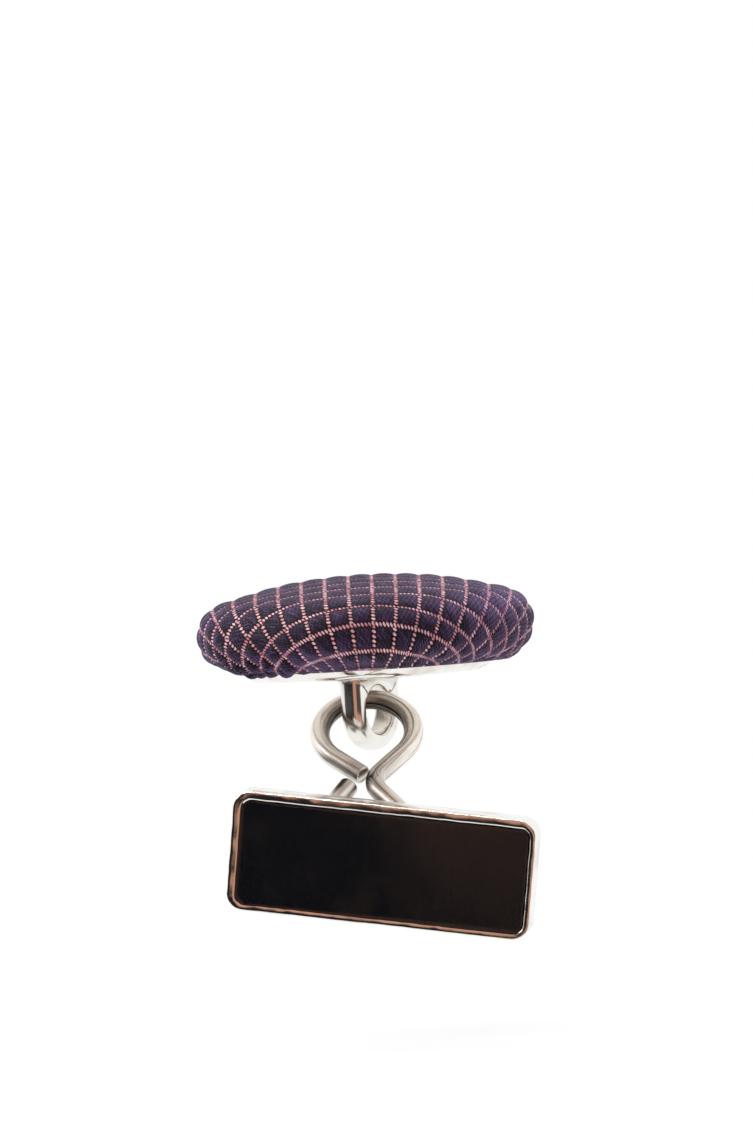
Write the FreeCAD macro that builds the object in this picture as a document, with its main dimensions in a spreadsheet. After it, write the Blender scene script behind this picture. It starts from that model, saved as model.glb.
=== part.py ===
import FreeCAD
import Part
import Sketcher
import math
import os

Vector = FreeCAD.Vector
Rotation = FreeCAD.Rotation

doc = FreeCAD.newDocument("cufflink")
sizes = doc.addObject("Spreadsheet::Sheet", "sizes")

# Lengths are in millimetres and angles in degrees.
values = {
    # covered button
    "button_width": 20.0,
    "button_height": 6.0,
    "widest_height": 2.85,
    "shoulder_radius": 2.1,
    "silk_thickness": 0.3,
    "lining_thickness": 0.35,
    "shell_thickness": 0.4,
    # back plate of the button
    "plate_inset": 2.6,
    "plate_thickness": 0.5,
    "dish_width": 1.1,
    "boss_margin": 1.0,
    "boss_height": 0.15,
    "hem_grip": 1.1,
    "spigot_wall": 0.5,
    "hem_clearance": 0.1,
    # eyed lug; the bar has one like it but thinner
    "lug_width": 4.8,
    "lug_thickness": 1.5,
    "eye_width": 2.9,
    "eye_drop": 1.9,
    "lug_edge_radius": 0.45,
    "eye_edge_radius": 0.25,
    "lug_turn_angle": -33.0,
    # figure-eight link
    "wire_width": 1.15,
    "wire_lift": 0.63,
    "link_slide": 0.3,
    "link_length": 12.8,
    "upper_loop_length": 7.0,
    "upper_loop_radius": 2.78,
    "lower_loop_radius": 2.4,
    "lower_loop_offset": 0.5,
    "waist_bend_radius": 1.2,
    "waist_bend_offset": 0.33,
    "upper_end_across": 0.42,
    "upper_end_above": 0.74,
    "lower_end_across": 1.17,
    "lower_end_below": 0.02,
    "wire_end_radius": 0.15,
    "link_lean_angle": 47.0,
    # bar
    "bar_length": 17.8,
    "bar_width": 7.0,
    "bar_thickness": 2.0,
    "corner_radius": 1.0,
    "rim_width": 0.5,
    "rim_radius": 0.12,
    "back_radius": 0.3,
    "tray_floor": 0.8,
    "inlay_recess": 0.12,
    "bar_slide": 0.6,
    "bar_lug_offset": 1.0,
    "bar_lug_thickness": 1.1,
    "bar_roll_angle": 7.9,
    "bar_pitch_angle": 7.0,
    "bar_yaw_angle": -10.0,
}
for row, (alias, value) in enumerate(values.items(), start=1):
    sizes.set("A%d" % row, alias.replace("_", " "))
    sizes.set("B%d" % row, str(value))
    sizes.setAlias("B%d" % row, alias)
doc.recompute()


def number(text):
    result = sizes.evalExpression(text)
    return float(getattr(result, "Value", result))


def make_body(label):
    body = doc.addObject("PartDesign::Body", label)
    body.Label = label
    return body


def origin_plane(body, role):
    return next(item for item in body.Origin.OriginFeatures if item.Role == role)


def make_sketch(body, name, role):
    sketch = body.newObject("Sketcher::SketchObject", name)
    sketch.AttachmentSupport = [(origin_plane(body, role), "")]
    sketch.MapMode = "FlatFace"
    return sketch


def fix_point(sketch, item, corner, across, up):
    # Ties one end of an outline's piece to its place, each way given as an expression on the sheet.
    for kind, axis, text in (("DistanceX", -2, across), ("DistanceY", -1, up)):
        if text == "0":
            sketch.addConstraint(Sketcher.Constraint("PointOnObject", item, corner, axis))
        else:
            index = sketch.addConstraint(Sketcher.Constraint(kind, -1, 1, item, corner, number(text)))
            sketch.setExpression("Constraints[%d]" % index, text)


def draw_outline(sketch, corners, closed=True):
    # Each corner is (across, up) and, where an arc follows, its (radius, centre across, centre up).
    count = len(corners)
    ends = []
    for index in range(count if closed else count - 1):
        corner = corners[index]
        follower = corners[(index + 1) % count]
        start = Vector(number(corner[0]), number(corner[1]), 0)
        stop = Vector(number(follower[0]), number(follower[1]), 0)
        if len(corner) == 2:
            item = sketch.addGeometry(Part.LineSegment(start, stop))
            ends.append((item, 1, 2))
            continue
        centre = Vector(number(corner[2][1]), number(corner[2][2]), 0)
        angles = [math.atan2(point.y - centre.y, point.x - centre.x) for point in (start, stop)]
        turn = (angles[1] - angles[0]) % (2 * math.pi)
        forward = turn < math.pi if len(corner) == 3 else corner[3] == "left"
        first = angles[0] if forward else angles[1]
        last = first + (turn if forward else 2 * math.pi - turn)
        circle = Part.Circle(centre, Vector(0, 0, 1), number(corner[2][0]))
        item = sketch.addGeometry(Part.ArcOfCircle(circle, first, last))
        ends.append((item, 1, 2) if forward else (item, 2, 1))
        bend = sketch.addConstraint(Sketcher.Constraint("Radius", item, number(corner[2][0])))
        sketch.setExpression("Constraints[%d]" % bend, corner[2][0])
    for index in range(len(ends) if closed else len(ends) - 1):
        item, _, end = ends[index]
        follower, begin, _ = ends[(index + 1) % len(ends)]
        sketch.addConstraint(Sketcher.Constraint("Coincident", item, end, follower, begin))
    for corner, (item, begin, _) in zip(corners, ends):
        fix_point(sketch, item, begin, corner[0], corner[1])
    if not closed:
        fix_point(sketch, ends[-1][0], ends[-1][2], corners[-1][0], corners[-1][1])


def revolve(body, sketch):
    turned = body.newObject("PartDesign::Revolution", sketch.Name + "_turned")
    turned.Profile = sketch
    turned.ReferenceAxis = (sketch, ["V_Axis"])
    turned.Angle = 360
    return turned


def edges_where(feature, test):
    # Names of a feature's edges whose box passes the test.
    edges = enumerate(feature.Shape.Edges, start=1)
    return ["Edge%d" % place for place, edge in edges if test(edge.BoundBox, edge)]


def round_edges(body, base, name, edges, radius):
    doc.recompute()
    fillet = body.newObject("PartDesign::Fillet", name)
    fillet.Base = (base, edges)
    fillet.setExpression("Radius", radius)
    doc.recompute()
    return fillet


near = number("sizes.wire_end_radius") * 1e-4

# Curves of the covered dome: a broad crown runs into a round shoulder and a round underside.
shoulder_across = "(sizes.button_width/2-sizes.shoulder_radius)"
underside_radius = "(sizes.widest_height-sizes.plate_thickness)"
underside_across = "(sizes.button_width/2-%s)" % underside_radius
crown_rise = "(sizes.button_height-sizes.widest_height)"
crown_radius = "((%s^2+%s^2-sizes.shoulder_radius^2)/(2*(%s-sizes.shoulder_radius)))" % (
    shoulder_across,
    crown_rise,
    crown_rise,
)
crown_centre = "(sizes.button_height-%s)" % crown_radius
plate_across = "(sizes.button_width/2-sizes.plate_inset)"
hem_across = "(%s-sizes.hem_grip)" % plate_across
spigot_across = "(%s-sizes.hem_clearance)" % hem_across
silk_depth = "sizes.silk_thickness"
lining_depth = "(sizes.silk_thickness+sizes.lining_thickness)"
shell_depth = "(%s+sizes.shell_thickness)" % lining_depth


def dome_line(depth):
    # Half outline of the dome at a depth below the silk's face, from the crown down to the turned-in hem.
    share = "((%s-%s)/(%s-sizes.shoulder_radius))" % (crown_radius, depth, crown_radius)
    join_across = "(%s*%s)" % (shoulder_across, share)
    join_up = "(%s+(sizes.widest_height-%s)*%s)" % (crown_centre, crown_centre, share)
    crown = ("(%s-%s)" % (crown_radius, depth), "0", crown_centre)
    shoulder = ("(sizes.shoulder_radius-%s)" % depth, shoulder_across, "sizes.widest_height")
    underside = ("(%s-%s)" % (underside_radius, depth), underside_across, "sizes.widest_height")
    return [
        ("0", "(sizes.button_height-%s)" % depth, crown),
        (join_across, join_up, shoulder),
        ("(sizes.button_width/2-%s)" % depth, "sizes.widest_height", underside),
        (underside_across, "(sizes.plate_thickness+%s)" % depth),
        (hem_across, "(sizes.plate_thickness+%s)" % depth),
    ]


def turned_back(line):
    # The same outline run the other way, from the hem up to the crown.
    places = [corner[:2] for corner in line][::-1]
    bends = [corner[2:] for corner in line[:-1]][::-1]
    return [place + bend for place, bend in zip(places, bends)] + [places[-1]]


def layer(label, outer_depth, inner_depth):
    body = make_body(label)
    sketch = make_sketch(body, label + "_outline", "XZ_Plane")
    draw_outline(sketch, dome_line(outer_depth) + turned_back(dome_line(inner_depth)))
    revolve(body, sketch)
    return body


silk_cover = layer("silk_cover", "0", silk_depth)
cover_lining = layer("cover_lining", silk_depth, lining_depth)
button_shell = layer("button_shell", lining_depth, shell_depth)

# The core fills the shell and rests on its turned-in hem and on the plate's spigot.
button_core = make_body("button_core")
core_outline = make_sketch(button_core, "core_outline", "XZ_Plane")
core_bottom = "(sizes.plate_thickness+%s)" % shell_depth
draw_outline(core_outline, dome_line(shell_depth)[:4] + [("0", core_bottom)])
revolve(button_core, core_outline)

# Dished back plate: a flat seat for the cuff, a low boss under the lug and a spigot inside the hem.
back_plate = make_body("back_plate")
plate_outline = make_sketch(back_plate, "plate_outline", "XZ_Plane")
seat_across = "(%s-sizes.dish_width)" % plate_across
boss_across = "(sizes.lug_width/2+sizes.boss_margin)"
dish_radius = "((sizes.dish_width^2+sizes.plate_thickness^2)/(2*sizes.plate_thickness))"
spigot_bore = "(%s-sizes.spigot_wall)" % spigot_across
draw_outline(
    plate_outline,
    [
        ("0", "(-sizes.boss_height)"),
        (boss_across, "(-sizes.boss_height)"),
        (boss_across, "0"),
        (seat_across, "0", (dish_radius, seat_across, dish_radius)),
        (plate_across, "sizes.plate_thickness"),
        (spigot_across, "sizes.plate_thickness"),
        (spigot_across, core_bottom),
        (spigot_bore, core_bottom),
        (spigot_bore, "sizes.plate_thickness"),
        ("0", "sizes.plate_thickness"),
    ],
)
revolve(back_plate, plate_outline)


def make_lug(label, thickness):
    # Flat lug with a round end and an eye through it; its root is at the top and its eye runs along X.
    body = make_body(label)
    sketch = make_sketch(body, label + "_outline", "YZ_Plane")
    side = "(sizes.lug_width/2)"
    drop = "(-sizes.eye_drop)"
    round_end = (side, "0", drop)
    draw_outline(
        sketch,
        [
            ("(-%s)" % side, "0"),
            (side, "0"),
            (side, drop, round_end),
            ("0", "(-sizes.eye_drop-%s)" % side, round_end),
            ("(-%s)" % side, drop),
        ],
    )
    eye_circle = Part.Circle(Vector(0, number(drop), 0), Vector(0, 0, 1), number("sizes.eye_width/2"))
    eye = sketch.addGeometry(eye_circle)
    bore = sketch.addConstraint(Sketcher.Constraint("Diameter", eye, number("sizes.eye_width")))
    sketch.setExpression("Constraints[%d]" % bore, "sizes.eye_width")
    fix_point(sketch, eye, 3, "0", drop)
    blank = body.newObject("PartDesign::Pad", label + "_blank")
    blank.Profile = sketch
    blank.setExpression("Length", thickness)
    blank.SideType = "Symmetric"
    doc.recompute()
    cheek = number(thickness) / 2
    reach = number("sizes.eye_width/2")

    def on_cheek(box):
        return abs(abs(box.Center.x) - cheek) < near and box.XLength < near

    def in_eye(box):
        return abs(box.YLength - 2 * reach) < near and abs(box.ZLength - 2 * reach) < near

    outer = edges_where(blank, lambda box, edge: on_cheek(box) and not in_eye(box) and box.ZMin < -near)
    rounded = round_edges(body, blank, label + "_rounded", outer, "sizes.lug_edge_radius")
    inner = edges_where(rounded, lambda box, edge: on_cheek(box) and in_eye(box))
    round_edges(body, rounded, label + "_eased", inner, "sizes.eye_edge_radius")
    return body


button_lug = make_lug("button_lug", "sizes.lug_thickness")
button_lug.Placement = FreeCAD.Placement(
    Vector(0, 0, -number("sizes.boss_height")),
    Rotation(Vector(0, 0, 1), number("sizes.lug_turn_angle")),
)

# One wire bent into two loops; its ends meet at the waist, beside the bend of the unbroken side.
figure_eight_link = make_body("figure_eight_link")
link_route = make_sketch(figure_eight_link, "link_route", "XY_Plane")
upper_radius = "sizes.upper_loop_radius"
lower_radius = "sizes.lower_loop_radius"
bend_radius = "sizes.waist_bend_radius"
waist = "(-sizes.upper_loop_length)"
upper_centre = ("0", "(-%s)" % upper_radius)
lower_centre = ("(-sizes.lower_loop_offset)", "(%s-sizes.link_length)" % lower_radius)
bend_centre = ("(sizes.waist_bend_offset+%s)" % bend_radius, waist)
upper_end = ("(-sizes.upper_end_across)", "(%s+sizes.upper_end_above)" % waist)
lower_end = ("(-sizes.lower_end_across)", "(%s-sizes.lower_end_below)" % waist)


def tangent_point(centre, radius, other, other_radius, side):
    # Where a straight run touches a loop on its way to a point, or to a bend that turns the other way.
    gap_x = "(%s-%s)" % (other[0], centre[0])
    gap_y = "(%s-%s)" % (other[1], centre[1])
    span = "sqrt(%s^2+%s^2)" % (gap_x, gap_y)
    lean = "acos((%s+%s)/%s)" % (radius, other_radius, span)
    swing = "(%s*%s)" % (side, lean)
    unit_x = "((%s*cos(%s)-%s*sin(%s))/%s)" % (gap_x, swing, gap_y, swing, span)
    unit_y = "((%s*sin(%s)+%s*cos(%s))/%s)" % (gap_x, swing, gap_y, swing, span)
    units = (unit_x, unit_y)
    here = tuple("(%s+%s*%s)" % (place, radius, unit) for place, unit in zip(centre, units))
    there = tuple("(%s-%s*%s)" % (place, other_radius, unit) for place, unit in zip(other, units))
    return here, there


no_bend = "0*%s" % bend_radius
upper_left, _ = tangent_point(upper_centre, upper_radius, upper_end, no_bend, -1)
upper_right, bend_top = tangent_point(upper_centre, upper_radius, bend_centre, bend_radius, 1)
lower_right, bend_bottom = tangent_point(lower_centre, lower_radius, bend_centre, bend_radius, -1)
lower_left, _ = tangent_point(lower_centre, lower_radius, lower_end, no_bend, 1)
draw_outline(
    link_route,
    [
        upper_end,
        upper_left + ((upper_radius,) + upper_centre, "right"),
        upper_right,
        bend_top + ((bend_radius,) + bend_centre, "left"),
        bend_bottom,
        lower_right + ((lower_radius,) + lower_centre, "right"),
        lower_left,
        lower_end,
    ],
    closed=False,
)
doc.recompute()
wire_section = figure_eight_link.newObject("Sketcher::SketchObject", "wire_section")
wire_section.AttachmentSupport = [(link_route, "Edge1"), (link_route, "Vertex1")]
wire_section.MapMode = "NormalToEdge"
wire_circle = Part.Circle(Vector(0, 0, 0), Vector(0, 0, 1), number("sizes.wire_width/2"))
ring = wire_section.addGeometry(wire_circle)
gauge = wire_section.addConstraint(Sketcher.Constraint("Diameter", ring, number("sizes.wire_width")))
wire_section.setExpression("Constraints[%d]" % gauge, "sizes.wire_width")
wire_section.addConstraint(Sketcher.Constraint("Coincident", ring, 3, -1, 1))
doc.recompute()
wire = figure_eight_link.newObject("PartDesign::AdditivePipe", "wire")
wire.Profile = wire_section
wire.Spine = (link_route, [])
doc.recompute()
gauge_size = number("sizes.wire_width")


wire_ends = [Vector(number(across), number(up), 0) for across, up in (upper_end, lower_end)]


def is_wire_end(box, edge):
    flat_face = edge.Closed and abs(edge.Length - math.pi * gauge_size) < near * 100
    place = edge.CenterOfGravity
    return flat_face and min((place - end).Length for end in wire_ends) < near * 100


round_edges(figure_eight_link, wire, "wire_ends", edges_where(wire, is_wire_end), "sizes.wire_end_radius")
eye_height = number("-sizes.boss_height-sizes.eye_drop")
lean = number("sizes.link_lean_angle")
link_top = Vector(-number("sizes.link_slide"), 0, eye_height + number("sizes.wire_lift"))
figure_eight_link.Placement = FreeCAD.Placement(link_top, Rotation(Vector(1, 0, 0), 90 - lean))

# The bar hangs on the lower loop by its own lug: long side along X, face along Z, back at zero.
lower_slide = number("sizes.bar_slide")
loop = number(lower_radius)
wire_low = Vector(
    number(lower_centre[0]) + lower_slide,
    number(lower_centre[1]) - math.sqrt(loop**2 - lower_slide**2),
    0,
)
bar_eye = figure_eight_link.Placement.multVec(wire_low)
upright = Rotation(Vector(1, 0, 0), 90)
yaw = Rotation(Vector(0, 0, 1), number("sizes.bar_yaw_angle"))
pitch = Rotation(Vector(1, 0, 0), number("sizes.bar_pitch_angle"))
roll = Rotation(Vector(0, 1, 0), number("sizes.bar_roll_angle"))
bar_turn = roll.multiply(pitch).multiply(yaw).multiply(upright)
lug_offset = number("sizes.bar_lug_offset")
bar_base = bar_eye + bar_turn.multVec(Vector(lug_offset, 0, number("sizes.eye_drop")))


def make_block(body, name, inset, bottom, depth):
    # Rectangular block centred on the bar, held in by an inset all round.
    half_long = "(sizes.bar_length/2-%s)" % inset
    half_wide = "(sizes.bar_width/2-%s)" % inset
    sketch = make_sketch(body, name + "_outline", "XY_Plane")
    sketch.setExpression("AttachmentOffset.Base.z", bottom)
    draw_outline(
        sketch,
        [
            ("(-%s)" % half_long, "(-%s)" % half_wide),
            (half_long, "(-%s)" % half_wide),
            (half_long, half_wide),
            ("(-%s)" % half_long, half_wide),
        ],
    )
    block = body.newObject("PartDesign::Pad", name)
    block.Profile = sketch
    block.setExpression("Length", depth)
    doc.recompute()
    return block


def upright_edges(feature, low):
    return edges_where(
        feature,
        lambda box, edge: box.XLength < near and box.YLength < near and box.ZMin > low - near,
    )


bar_tray = make_body("bar_tray")
block = make_block(bar_tray, "tray_block", "0*sizes.rim_width", "0*sizes.tray_floor", "sizes.bar_thickness")
cornered = round_edges(bar_tray, block, "tray_corners", upright_edges(block, 0), "sizes.corner_radius")
bed = make_sketch(bar_tray, "tray_bed", "XY_Plane")
bed.setExpression("AttachmentOffset.Base.z", "sizes.bar_thickness")
bed_long = "(sizes.bar_length/2-sizes.rim_width)"
bed_wide = "(sizes.bar_width/2-sizes.rim_width)"
bed_corners = [("-", "-"), ("", "-"), ("", ""), ("-", "")]
draw_outline(bed, [("(%s%s)" % (x, bed_long), "(%s%s)" % (y, bed_wide)) for x, y in bed_corners])
hollow = bar_tray.newObject("PartDesign::Pocket", "tray_hollow")
hollow.Profile = bed
hollow.setExpression("Length", "sizes.bar_thickness-sizes.tray_floor")
doc.recompute()
taken = cornered.Shape.Volume - hollow.Shape.Volume
if taken < near:
    raise RuntimeError("the tray's hollow cuts nothing")
bed_radius = "(sizes.corner_radius-sizes.rim_width)"
inside = number(bed_long)


def in_hollow(box, edge):
    upright_edge = box.XLength < near and box.YLength < near
    return upright_edge and abs(abs(box.XMin) - inside) < near


hollowed = round_edges(bar_tray, hollow, "hollow_corners", edges_where(hollow, in_hollow), bed_radius)
face_height = number("sizes.bar_thickness")
rim_edges = edges_where(hollowed, lambda box, edge: box.ZMin > face_height - near)
rim_rounded = round_edges(bar_tray, hollowed, "rim_rounded", rim_edges, "sizes.rim_radius")
back_edges = edges_where(rim_rounded, lambda box, edge: box.ZMax < near)
round_edges(bar_tray, rim_rounded, "back_rounded", back_edges, "sizes.back_radius")

enamel_inlay = make_body("enamel_inlay")
inlay_depth = "sizes.bar_thickness-sizes.tray_floor-sizes.inlay_recess-sizes.rim_radius"
slab = make_block(enamel_inlay, "inlay_slab", "sizes.rim_width", "sizes.tray_floor", inlay_depth)
floor_height = number("sizes.tray_floor")
round_edges(enamel_inlay, slab, "inlay_corners", upright_edges(slab, floor_height), bed_radius)

bar_lug = make_lug("bar_lug", "sizes.bar_lug_thickness")
for piece in (bar_tray, enamel_inlay):
    piece.Placement = FreeCAD.Placement(bar_base, bar_turn)
bar_lug.Placement = FreeCAD.Placement(bar_base - bar_turn.multVec(Vector(lug_offset, 0, 0)), bar_turn)

doc.recompute()
pieces = [
    silk_cover,
    cover_lining,
    button_shell,
    button_core,
    back_plate,
    button_lug,
    figure_eight_link,
    bar_tray,
    enamel_inlay,
    bar_lug,
]
for item in doc.Objects:
    if "Invalid" in item.State or "Error" in item.State:
        raise RuntimeError("%s did not build: %s" % (item.Name, item.State))
for piece in pieces:
    shape = piece.Shape
    if shape.isNull() or not shape.isValid() or len(shape.Solids) != 1:
        raise RuntimeError("%s has no single sound solid" % piece.Label)
os.makedirs("parts", exist_ok=True)
for piece in pieces:
    piece.Shape.exportStep("parts/%s.step" % piece.Label)
    print("%-18s %9.2f mm3" % (piece.Label, piece.Shape.Volume))
print("bar eye %.3f %.3f %.3f" % tuple(bar_eye))
print("bar long way %.5f %.5f %.5f" % tuple(bar_turn.multVec(Vector(1, 0, 0))))
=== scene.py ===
import bpy
import bmesh
import math
from mathutils import Matrix, Vector, noise


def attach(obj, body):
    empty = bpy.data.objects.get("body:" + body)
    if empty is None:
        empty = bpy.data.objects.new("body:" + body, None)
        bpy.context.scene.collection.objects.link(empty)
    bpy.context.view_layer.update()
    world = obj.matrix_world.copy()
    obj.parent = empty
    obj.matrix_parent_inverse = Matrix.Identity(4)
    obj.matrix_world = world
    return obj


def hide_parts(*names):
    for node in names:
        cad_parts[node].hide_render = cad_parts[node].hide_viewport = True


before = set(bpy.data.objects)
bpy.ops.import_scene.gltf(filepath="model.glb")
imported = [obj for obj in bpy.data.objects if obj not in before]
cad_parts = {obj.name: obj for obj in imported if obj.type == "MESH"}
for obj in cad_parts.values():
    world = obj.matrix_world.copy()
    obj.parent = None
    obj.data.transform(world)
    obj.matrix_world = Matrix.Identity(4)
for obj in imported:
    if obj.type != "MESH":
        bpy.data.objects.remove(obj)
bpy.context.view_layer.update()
mm = 0.001  # sizes below are in millimetres
mergeGap = 1e-5  # vertices nearer than this become one
close = 1e-4  # points nearer than this count as being in one place
noise.seed_set(5)  # the wavering edges come out the same in every run


def ink(red, green, blue):  # a colour as it looks on screen, made linear
    parts = [c / 255 for c in (red, green, blue)]
    return tuple(c / 12.92 if c < 0.04045 else ((c + 0.055) / 1.055) ** 2.4 for c in parts) + (1.0,)


def smoothStep(low, high, x):
    t = min(1.0, max(0.0, (x - low) / (high - low)))
    return t * t * (3 - 2 * t)


def within(rising, falling, x):  # 1 between two soft edges, 0 outside them
    return smoothStep(*rising, x) * (1 - smoothStep(*falling, x))


# Mesh helpers
def vertsIn(geom):
    return [item for item in geom if isinstance(item, bmesh.types.BMVert)]


def edgesIn(geom):
    return [item for item in geom if isinstance(item, bmesh.types.BMEdge)]


def roundEdges(bm, edges, radius, segments):
    bmesh.ops.bevel(
        bm,
        geom=edges,
        offset=radius,
        offset_type="OFFSET",
        segments=segments,
        profile=0.5,
        affect="EDGES",
        material=-1,
    )


def turnRound(bm, line, steps):  # a line of vertices, turned once round the Z axis
    edges = [bm.edges.new(pair) for pair in zip(line, line[1:])]
    bmesh.ops.spin(
        bm,
        geom=line + edges,
        cent=(0, 0, 0),
        axis=(0, 0, 1),
        angle=2 * math.pi,
        steps=steps,
        use_merge=True,
    )
    bmesh.ops.remove_doubles(bm, verts=bm.verts, dist=mergeGap)
    bmesh.ops.recalc_face_normals(bm, faces=bm.faces)


def newObject(name, bm, material):
    mesh = bpy.data.meshes.new(name)
    bm.to_mesh(mesh)
    bm.free()
    mesh.materials.append(material)
    made = bpy.data.objects.new(name, mesh)
    bpy.context.collection.objects.link(made)
    return made


def finishPiece(name, bm, place, material, body, node):
    bmesh.ops.transform(bm, matrix=Matrix.Scale(mm, 4) @ place, verts=bm.verts)
    for face in bm.faces:
        face.smooth = True
    piece = newObject(name, bm, material)
    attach(piece, body)
    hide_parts(node)
    print("piece", name, len(piece.data.polygons), "faces")
    return piece


def weighted(piece):  # keeps the flat faces flat beside their rounded edges
    even = piece.modifiers.new("evenNormals", "WEIGHTED_NORMAL")
    even.mode = "FACE_AREA"
    even.weight = 60
    even.keep_sharp = True
    return piece


# Shader helpers: one call makes a node and links or sets its inputs.
def feed(tree, value, socket):
    if isinstance(value, bpy.types.NodeSocket):
        tree.links.new(value, socket)
    else:
        socket.default_value = value


def feedAll(tree, node, inputs):
    for key, value in inputs.items():
        feed(tree, value, node.inputs[key])


def addNode(tree, kind, inputs=None, **settings):
    node = tree.nodes.new(kind)
    for key, value in settings.items():
        setattr(node, key, value)
    feedAll(tree, node, inputs or {})
    return node


def calc(tree, operation, *terms):
    return addNode(tree, "ShaderNodeMath", dict(enumerate(terms)), operation=operation).outputs[0]


def remap(tree, value, low, high, newLow=0.0, newHigh=1.0, smooth=True):
    kind = "SMOOTHSTEP" if smooth else "LINEAR"
    terms = {"Value": value, "From Min": low, "From Max": high, "To Min": newLow, "To Max": newHigh}
    return addNode(tree, "ShaderNodeMapRange", terms, interpolation_type=kind).outputs["Result"]


def blendColours(tree, factor, first, second):
    terms = {0: factor, 6: first, 7: second}  # a Mix node keeps its colours in sockets 6 and 7
    return addNode(tree, "ShaderNodeMix", terms, data_type="RGBA").outputs[2]


def noiseAt(tree, place, scale, detail):
    terms = {"Vector": place, "Scale": scale, "Detail": detail}
    return addNode(tree, "ShaderNodeTexNoise", terms).outputs["Fac"]


def chanceAt(tree, column, row):  # a steady random value for each cell of a grid
    cell = addNode(tree, "ShaderNodeCombineXYZ", {"X": column, "Y": row}).outputs[0]
    return addNode(tree, "ShaderNodeTexWhiteNoise", {"Vector": cell}, noise_dimensions="2D").outputs["Value"]


def bumpFrom(tree, height, strength, depth):
    terms = {"Height": height, "Strength": strength, "Distance": depth * mm}
    return addNode(tree, "ShaderNodeBump", terms).outputs[0]


def attributeAt(tree, name):
    return addNode(tree, "ShaderNodeAttribute", attribute_name=name).outputs


def splitParts(tree, vector):
    return addNode(tree, "ShaderNodeSeparateXYZ", {0: vector}).outputs


def objectPlace(tree):
    return addNode(tree, "ShaderNodeTexCoord").outputs["Object"]


def newMaterial(name):
    material = bpy.data.materials.new(name)
    material.use_nodes = True
    tree = material.node_tree
    return material, tree, tree.nodes["Principled BSDF"]


def newGroup(name, inputs, outputs):
    group = bpy.data.node_groups.new(name, "ShaderNodeTree")
    for label, (kind, default) in inputs.items():
        socket = group.interface.new_socket(label, in_out="INPUT", socket_type=kind)
        socket.default_value = default
    for label in outputs:
        group.interface.new_socket(label, in_out="OUTPUT", socket_type="NodeSocketFloat")
    given = group.nodes.new("NodeGroupInput").outputs
    return group, given, group.nodes.new("NodeGroupOutput")


def placeGroup(tree, group, inputs):
    return addNode(tree, "ShaderNodeGroup", inputs, node_tree=group).outputs


# Checked silk: a dark twill ground, crossed by rows of pink floats. Lengths run along the flat cloth.
silk = {
    "lineStartAcross": 0.54,
    "lineStartDeep": -0.71,
    "cellAcross": 1.40,
    "cellDeep": 1.69,
    "deepFloat": {"Float spacing": 0.29, "Half across": 0.138, "Half along": 0.112, "Slant": 0.3},
    "crossFloat": {"Float spacing": 0.235, "Half along": 0.092, "Slant": 0.35},
    "crossReach": (0.1, 0.18),  # half across of a cross float, on the crown and beyond it
    "crownEnd": (9.3, 10.5),
    "rowStagger": 0.37,
    "rowWidth": 0.2,
    "floatSpread": (0.86, 1.14),
    "floatEdge": (1.1, 0.86),
    "lozengePower": 1.6,
    # gapReach, valleyShadeDepth and the gap colour paint shade into the valleys beside the rows
    "gapReach": (0.34, 0.13),
    "valleyShadeDepth": 0.9,
    "twillSpacing": 0.1,
    "twillLean": 0.75,
    "twillWobble": 0.2,
    "ribStagger": 0.41,
    "ribEdge": (0.46, 0.05),
    "runsPerMm": 1.3,
    "runEdge": (0.5, 0.34),
    "runTone": 0.65,
    "cloudTone": (0.65, 1.0),
    "ground": ink(14, 8, 14),
    "thread": ink(114, 80, 138),
    # colour of the painted valley shade
    "gap": ink(10, 6, 9),
    # painted shade at the floats' edges
    "pinkEdgeShade": ink(104, 40, 46),
    "pinkDeep": ink(178, 110, 120),
    "pinkPale": ink(222, 174, 180),
    "sheen": ink(198, 166, 240),
    "rough": (0.78, 0.36),
    "rowRelief": 1.3,
    "ribRelief": 0.7,
    "relief": 0.05,
}


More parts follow.
